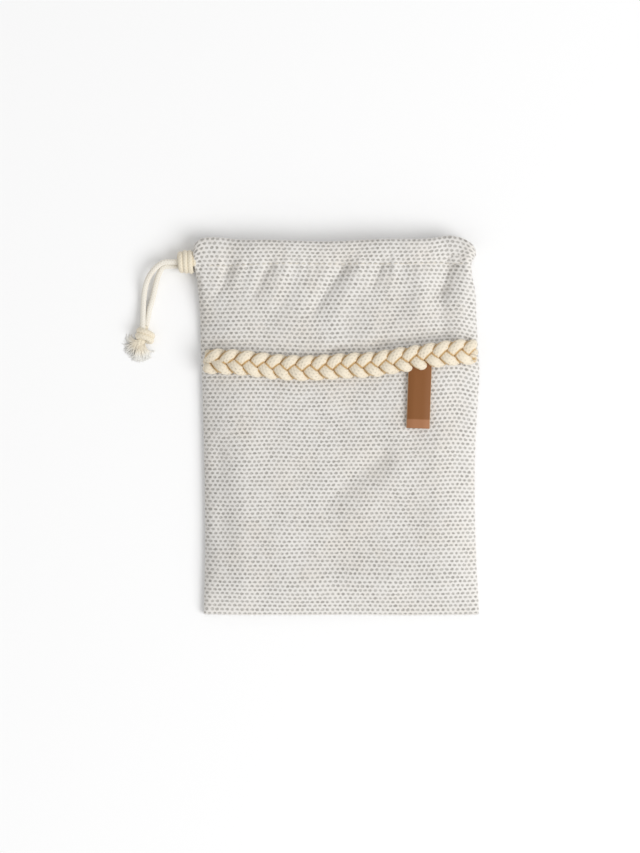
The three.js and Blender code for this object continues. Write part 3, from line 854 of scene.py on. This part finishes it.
THREAD_R = 0.17
THREAD_CREAM = (0.80, 0.755, 0.66, 1)
THREAD_SHADE = (0.60, 0.54, 0.44, 1)
LAYER = 0.52                       # thickness of one layer, pressed
ALLOWANCE_IN = 0.95                # how far inside the outline an allowance begins
ALLOWANCE_Z = 1.9
SEAM_WIDTH = 7.2
ALLOWANCE_E = np.linspace(ALLOWANCE_IN, ALLOWANCE_IN + SEAM_WIDTH, 7)   # its places across, inwards
SEAM_STITCH_IN = 1.9               # how far inside the outline the seam's own stitches run
OVERLOCK_PITCH = 2.4
OVERLOCK_MIDDLE = 5.95             # how far inside the outline the overlocking's middle is
OVERLOCK_HALF = 2.45               # half its width
# Each seam, with where its allowance begins and ends: up the sides, or across the bottom.
SEAMS = (("left", -80.5, 72.0), ("right", -80.5, 72.0), ("bottom", -53.0, 57.0))

sewing_thread, tree, shader = new_material("sewing thread")
cotton_shader(shader, 0.75, 0.3)
_, turns, length = weave_place(tree)
wound = times(turns, 4 * math.pi)
twist = sine(times_plus(length, 9.0, wound))
fibres = add_fibre(tree, 2500.0)
ply = times_plus(fibres.outputs["Fuzz"], 0.6, twist)
# Painted shade in the grooves of the twist.
paint(shader, mix_colour(band(ply, 0.9, -0.9), THREAD_CREAM, THREAD_SHADE))
add_bump(shader, ply, 0.00006, 0.6)


def add_thread(name, node, parts):
    points, faces, weave = join_parts(parts)
    return add_piece(name, points, faces, sewing_thread, weave, True, "thread", [node])


def allowance_height(e):
    return ALLOWANCE_Z + 0.25 * (1 - smooth(e / 2.5))


def beside_seam(side, run, e, z):
    """Places along a seam, e in from the outline."""
    if side == "bottom":
        return np.stack([run, through(BOTTOM_EDGE, run) + e, z], -1)
    edge = through(LEFT_EDGE if side == "left" else RIGHT_EDGE, run)
    return np.stack([edge + e if side == "left" else edge - e, run, z], -1)


for side, start, stop in SEAMS:
    run, e = np.meshgrid(np.linspace(start, stop, 80), ALLOWANCE_E)
    layers = []
    for middle in (-0.56 * LAYER, 0.56 * LAYER):
        z = allowance_height(e) + middle + 0.06 * waves_at(run * 2, e * 2)
        over = beside_seam(side, run, e, z + LAYER / 2)
        under = beside_seam(side, run, e, z - LAYER / 2)
        layers.append(closed_layer(over, under, 1, np.stack([run + 3.1, e], -1), side == "left"))
    points, faces, weave = join_parts(layers)
    node = "bottom_seam" if side == "bottom" else side + "_side_seam"
    piece = add_piece(side + "_seam_allowance", points, faces, woven_cloth, weave, False,
                      "woven_cloth", [node])

    turns = np.arange(start + 1.5, stop - 1.5, OVERLOCK_PITCH / 12)
    angle = 2 * math.pi * turns / OVERLOCK_PITCH
    e = OVERLOCK_MIDDLE + OVERLOCK_HALF * np.sign(np.cos(angle)) * np.abs(np.cos(angle)) ** 0.5
    z = allowance_height(e) + (LAYER + 0.28) * np.sign(np.sin(angle)) * np.abs(np.sin(angle)) ** 0.5
    lock = np.arange(start + 1, stop - 1, 0.5)
    lock_z = allowance_height(SEAM_STITCH_IN) + LAYER + 0.16 - 0.12 * (np.sin(lock * 2.4) > 0.8)
    thread = add_thread(side + "_overlock", side + "_seam_stitching", [
        tube(beside_seam(side, turns, e, z), THREAD_R, 6),
        tube(beside_seam(side, lock, np.full_like(lock, SEAM_STITCH_IN), lock_z), THREAD_R, 6)])
    if side == "bottom":
        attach(piece, "bag")
        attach(thread, "bag")
    else:
        gather(piece)
        gather(thread)

# ------------------------------------------------------------------ casing stitching
# A row of running stitches through both layers holds each casing's turned edge. They are
# of thread the colour of the cloth and pull it in a little.

STITCH_LONG = 2.1
STITCH_GAP = 1.0
STITCHES_REACH = 60                # how far they run to each side of the middle
STITCH_OFF = 0.25                  # how far above the stitch line they lie
BACK_STITCH_Z = 2.15
STITCH_DIP = np.array([0.25, 0.02, -0.05, -0.05, 0.02, 0.25])   # how deep along each stitch

front_tree = BVHTree.FromPolygons(front_points.tolist(), front_faces)


def front_height(x, y):
    """Height of the front's outer face at a place."""
    hit = front_tree.ray_cast(Vector((x, y, 40)), Vector((0, 0, -1)))[0]
    return hit.z if hit else 5.0


front_dashes = []
back_dashes = []
for x in np.arange(-STITCHES_REACH, STITCHES_REACH, STITCH_LONG + STITCH_GAP):
    xs = np.linspace(x, x + STITCH_LONG, len(STITCH_DIP))
    ys = through(STITCH_LINE, xs) + STITCH_OFF
    front_zs = np.array([front_height(a, b) for a, b in zip(xs, ys)]) - STITCH_DIP
    back_zs = np.full(len(STITCH_DIP), BACK_STITCH_Z) - STITCH_DIP
    front_dashes.append(tube(np.stack([xs, ys, front_zs], -1), THREAD_R * 1.1, 6))
    back_dashes.append(tube(np.stack([xs, ys, back_zs], -1), THREAD_R * 1.1, 6))
gather(add_thread("front_stitches", "front_casing_stitching", front_dashes))
gather(add_thread("back_stitches", "back_casing_stitching", back_dashes))

# ------------------------------------------------------------------ braid
# Three soft knitted cotton cords plaited flat across the front and tacked down near the
# side seams. The knit is creamy, with a golden painted shade where the cords press together.

BRAID_CREAM = (0.83, 0.74, 0.59, 1)
BRAID_CREASE_SHADE = (0.60, 0.375, 0.12, 1)
BRAID_HOLE_SHADE = (0.42, 0.375, 0.30, 1)
BRAID_PITCH = 21.4                 # length in which a strand crosses over and comes back
BRAID_SHIFT = 3.5                  # moves the crossings along the braid
BRAID_SWING = 3.85                 # how far a strand goes to each side
BRAID_WEAVE = 1.4                  # how far it goes over and under the others
BRAID_LEFT, BRAID_RIGHT = -62.3, 66.3
STRAND_WIDE = 2.3                  # half width of a strand
STRAND_DEEP = 1.5                  # half depth
STRAND_SIDES = 26
STRAND_STEP = 0.32
END_ROUND = 1.6                    # length over which a strand's end rounds off
KNIT_LOOPS = 9                     # loops of the knit round a strand
KNIT_ROW = 1.25                    # from one row of loops to the next
KNIT_RELIEF = 0.07
ACROSS_BRAID = (-5, -2.5, 0, 2.5, 5)

braid_cotton, tree, shader = new_material("knitted cotton cord")
cotton_shader(shader, 0.9, 0.4)
_, turns, length = weave_place(tree)
crease = add_node(tree, "Attribute", attribute_name="crease")
fibres = add_fibre(tree, 1100.0)
loops_round = cosine(times(turns, 2 * math.pi * KNIT_LOOPS))
loops_along = cosine(times(length, math.pi / KNIT_ROW))
holes = times(loops_round, loops_along)
# Painted shade in the knit's open loops.
patchy = add_node(tree, "TexNoise", Scale=300.0, Detail=1.0)
place = add_node(tree, "TexCoord")
tree.links.new(place.outputs["Object"], patchy.inputs["Vector"])
open_loops = times_plus(patchy.outputs["Fac"], 1.3, holes)
hole_shade_mask = times(band(open_loops, 1.28, 1.62), 0.5)
cream = mix_colour(hole_shade_mask, BRAID_CREAM, BRAID_HOLE_SHADE)
# Painted shade: golden where the crease attribute says a strand is pressed by or lies under another.
crease_shade = times_plus(fibres.outputs["Tint"], 0.5, -0.25)
crease_shade = band(plus(crease.outputs["Fac"], crease_shade), 0.2, 0.85)
paint(shader, mix_colour(times(crease_shade, 0.85), cream, BRAID_CREASE_SHADE))
knit = times_plus(holes, -0.6, fibres.outputs["Fuzz"])
add_bump(shader, knit, 0.0003, 0.6)

# The braid lies on the front's folds, but is stiffer than they are.
base_x = np.arange(-63, 68, 1.5)
base_z = np.array([max(front_height(x, through(BRAID_LINE, x) + dy) for dy in ACROSS_BRAID)
                   for x in base_x])
base_z = np.convolve(np.pad(base_z, 3, mode="edge"), np.ones(7) / 7, mode="valid")

strand_paths = []
for i in range(3):
    x = np.arange(BRAID_LEFT, BRAID_RIGHT, STRAND_STEP)
    phase = 2 * math.pi * ((x + BRAID_SHIFT) / BRAID_PITCH + i / 3)
    y = through(BRAID_LINE, x) + BRAID_SWING * np.sin(phase)
    end = np.minimum(x - BRAID_LEFT, BRAID_RIGHT - x)
    tucked = 1.3 * (1 - smooth(end / 2.4))
    z = np.interp(x, base_x, base_z) + STRAND_DEEP + 0.35 + BRAID_WEAVE * np.sin(2 * phase) - tucked
    strand_paths.append((np.stack([x, y, z], -1), phase))

for i, letter in enumerate("abc"):
    centres, phase = strand_paths[i]
    ahead = ways_along(centres)
    side = np.stack([-ahead[:, 1], ahead[:, 0], np.zeros(len(ahead))], -1)
    side /= np.linalg.norm(side, axis=1)[:, None]
    up = np.cross(ahead, side)
    from_end = np.minimum(centres[:, 0] - BRAID_LEFT, BRAID_RIGHT - centres[:, 0])
    closing = np.sqrt(np.clip(1 - (1 - np.clip(from_end / END_ROUND, 0.03, 1)) ** 2, 0, 1))
    fullness = closing * (1 + 0.07 * np.sin(2 * phase))
    angle = 2 * math.pi * np.arange(STRAND_SIDES) / STRAND_SIDES
    wide = np.cos(angle) * STRAND_WIDE
    deep = np.sin(angle) * STRAND_DEEP
    points = (centres[:, None] + (wide[None] * fullness[:, None])[..., None] * side[:, None]
              + (deep[None] * fullness[:, None])[..., None] * up[:, None])
    run = run_along(centres)
    loops = np.cos(2 * math.pi * KNIT_LOOPS * np.arange(STRAND_SIDES) / STRAND_SIDES)
    knit = KNIT_RELIEF * loops[None] * np.cos(math.pi * run / KNIT_ROW)[:, None]
    points = points - knit[..., None] * (np.cos(angle)[None, :, None] * side[:, None]
                                         + np.sin(angle)[None, :, None] * up[:, None])
    rings, sides = points.shape[:2]
    weave = np.stack(np.broadcast_arrays(angle[None] / (2 * math.pi), run[:, None]), -1).reshape(-1, 2)

    # How near each place is to a crease, by its distance from the other two strands: the amount of painted
    # shade there.
    near = np.zeros(rings * sides)
    flat = points.reshape(-1, 3)
    level = np.repeat(centres[:, 2], sides)
    off_centre = np.tile(np.abs(wide) / STRAND_WIDE, rings)
    for j in range(3):
        if j == i:
            continue
        other = strand_paths[j][0]
        gap = np.hypot(flat[:, None, 0] - other[None, :, 0], flat[:, None, 1] - other[None, :, 1])
        nearest = gap.argmin(axis=1)
        gap = gap[np.arange(len(flat)), nearest]
        above = other[nearest, 2] > level - 0.1
        under_other = np.exp(-(np.maximum(gap - STRAND_WIDE, 0) / 0.8) ** 2) * above
        pressed = smooth((off_centre - 0.62) / 0.36) * (gap < STRAND_WIDE + 1.2)
        near = np.maximum(near, np.maximum(under_other, pressed * 0.85))

    near *= np.repeat(0.25 + 0.75 * smooth((from_end - 0.4) / 2.4), sides)

    faces = [face[::-1] for face in ring_faces(rings, sides)]
    faces.append(tuple(range(sides)))
    faces.append(tuple(reversed(range((rings - 1) * sides, rings * sides))))
    strand = add_piece("strand_" + letter, flat, faces, braid_cotton, weave, True, "braid_cotton",
                       ["braid_strand_" + letter])
    strand.data.attributes.new("crease", "FLOAT", "POINT").data.foreach_set("value", near)
    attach(strand, "bag")

# A few small stitches over each end of the braid hold it to the front.
TACK_ROWS = (-4.2, -1.4, 1.4, 4.2)
TACK_ARCH = [(-1.3, -1, -2.2), (-1.15, -1, -0.9), (-0.7, 0, -0.3), (0, 0, -0.15),
             (0.7, 0, -0.3), (1.15, 1, -0.9), (1.3, 1, -2.2)]   # (along, lean, down from the top)
for side, x in (("left", -60.7), ("right", 64.9)):
    arches = []
    for k, dy in enumerate(TACK_ROWS):
        y = float(through(BRAID_LINE, x)) + dy
        top = float(np.interp(x, base_x, base_z)) + 2 * STRAND_DEEP + 0.9
        lean = 0.5 * (-1) ** k
        arches.append(tube([(x + a, y + b * lean, top + c) for a, b, c in TACK_ARCH], THREAD_R, 6))
    tack = add_thread(side + "_tack", side + "_braid_tack", arches)
    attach(tack, "bag")

# ------------------------------------------------------------------ leather label
# A strip of tan leather folded double, its two ends sewn in under the braid. Its faces are
# smooth; the cut edges are pale, and a painted highlight lightens the fold.

LABEL_WIDTH = 11.0
LEATHER = 0.95
LABEL_TOP = (39.35, 25.4)
LABEL_FOOT = (38.45, -1.2)
UNDER_BRAID = 4.6                  # how much of it lies under the braid
LEATHER_TAN = (0.240, 0.092, 0.026, 1)
LEATHER_FOLD_HIGHLIGHT = (0.37, 0.165, 0.075, 1)
LEATHER_EDGE = (0.56, 0.39, 0.25, 1)

tan_leather, tree, shader = new_material("tan leather")
feed(shader, (("Roughness", 0.52), ("Specular IOR Level", 0.25)))
_, across, along = weave_place(tree)
place = add_node(tree, "TexCoord")
grain = texture(place.outputs["Object"], "Voronoi", Scale=2600.0, feature="SMOOTH_F1")
cloudy = texture(place.outputs["Object"], "Noise", Scale=160.0, Detail=3.0)
from_fold = maths("ABSOLUTE", along)
uneven = times_plus(cloudy.outputs["Fac"], 0.6, -0.3)
# Painted highlight: a lighter band along the fold.
fold_highlight_mask = band(plus(from_fold, uneven), 4.6, 4.0)
tan = mix_colour(fold_highlight_mask, LEATHER_TAN, LEATHER_FOLD_HIGHLIGHT)
from_middle = maths("ABSOLUTE", across)
cut = band(from_middle, LABEL_WIDTH / 2 - 0.22, LABEL_WIDTH / 2 - 0.08)
paint(shader, mix_colour(cut, tan, LEATHER_EDGE))
add_bump(shader, times_plus(cloudy.outputs["Fac"], 0.4, grain.outputs["Distance"]),
         0.00012, 0.35)

label_way = np.array([LABEL_TOP[0] - LABEL_FOOT[0], LABEL_TOP[1] - LABEL_FOOT[1]])
label_length = np.linalg.norm(label_way)
label_way /= label_length
label_side = np.array([label_way[1], -label_way[0]])

# The cloth's height under it, as a plain curve that clears every fold.
ACROSS_LABEL = (-5, -2.5, 0, 2.5, 5)
rest_s = np.arange(-0.6, label_length + 7, 0.8)
rest_z = np.array([max(front_height(*(np.array(LABEL_FOOT) + label_way * s + label_side * a))
                       for a in ACROSS_LABEL) for s in rest_s])
rest_fit = np.polyfit(rest_s, rest_z, 2)
rest_z = np.polyval(rest_fit, rest_s) + max(0, (rest_z - np.polyval(rest_fit, rest_s)).max()) + 0.06

# Its run: down the upper layer, round the fold, and back up the lower one. Each station has its
# distance from the foot, its height and its place along the strip.
fold_r = LEATHER / 2 + 0.06
fold_s = fold_r + LEATHER / 2
top_s = label_length + UNDER_BRAID
stations = [(s, 3 * fold_r, s) for s in np.linspace(top_s, fold_s, 30)]
stations += [(fold_s - fold_r * math.sin(a), 2 * fold_r + fold_r * math.cos(a), 0.5 - a / math.pi)
             for a in np.linspace(0.2, math.pi - 0.2, 9)]
stations += [(s, fold_r, -s) for s in np.linspace(fold_s, top_s, 30)]
middle = np.array([(s, np.interp(s, rest_s, rest_z) + h - fold_r + LEATHER / 2) for s, h, _ in stations])
ahead = ways_along(middle)
outward = np.stack([ahead[:, 1], -ahead[:, 0]], -1) * -1
half_w, half_t, bevel = LABEL_WIDTH / 2, LEATHER / 2, 0.13
profile = [(-half_w + bevel, half_t), (-half_w / 3, half_t), (half_w / 3, half_t),
           (half_w - bevel, half_t), (half_w, half_t - bevel), (half_w, -half_t + bevel)]
profile += [(-a, -t) for a, t in profile]
points, weave = [], []
for (s, z), out, (_, _, run) in zip(middle, outward, stations):
    for a, t in profile:
        flat = np.array(LABEL_FOOT) + label_way * (s + out[0] * t) + label_side * a
        points.append((flat[0], flat[1], z + out[1] * t))
        weave.append((a, run))
sides = len(profile)
faces = [(a, d, c, b) for a, b, c, d in ring_faces(len(middle), sides)]
faces.append(tuple(reversed(range(sides))))
faces.append(tuple(range((len(middle) - 1) * sides, len(middle) * sides)))
label = add_piece("folded_label", points, faces, tan_leather, weave, False, "tan_leather", ["leather_label"])
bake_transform(label)
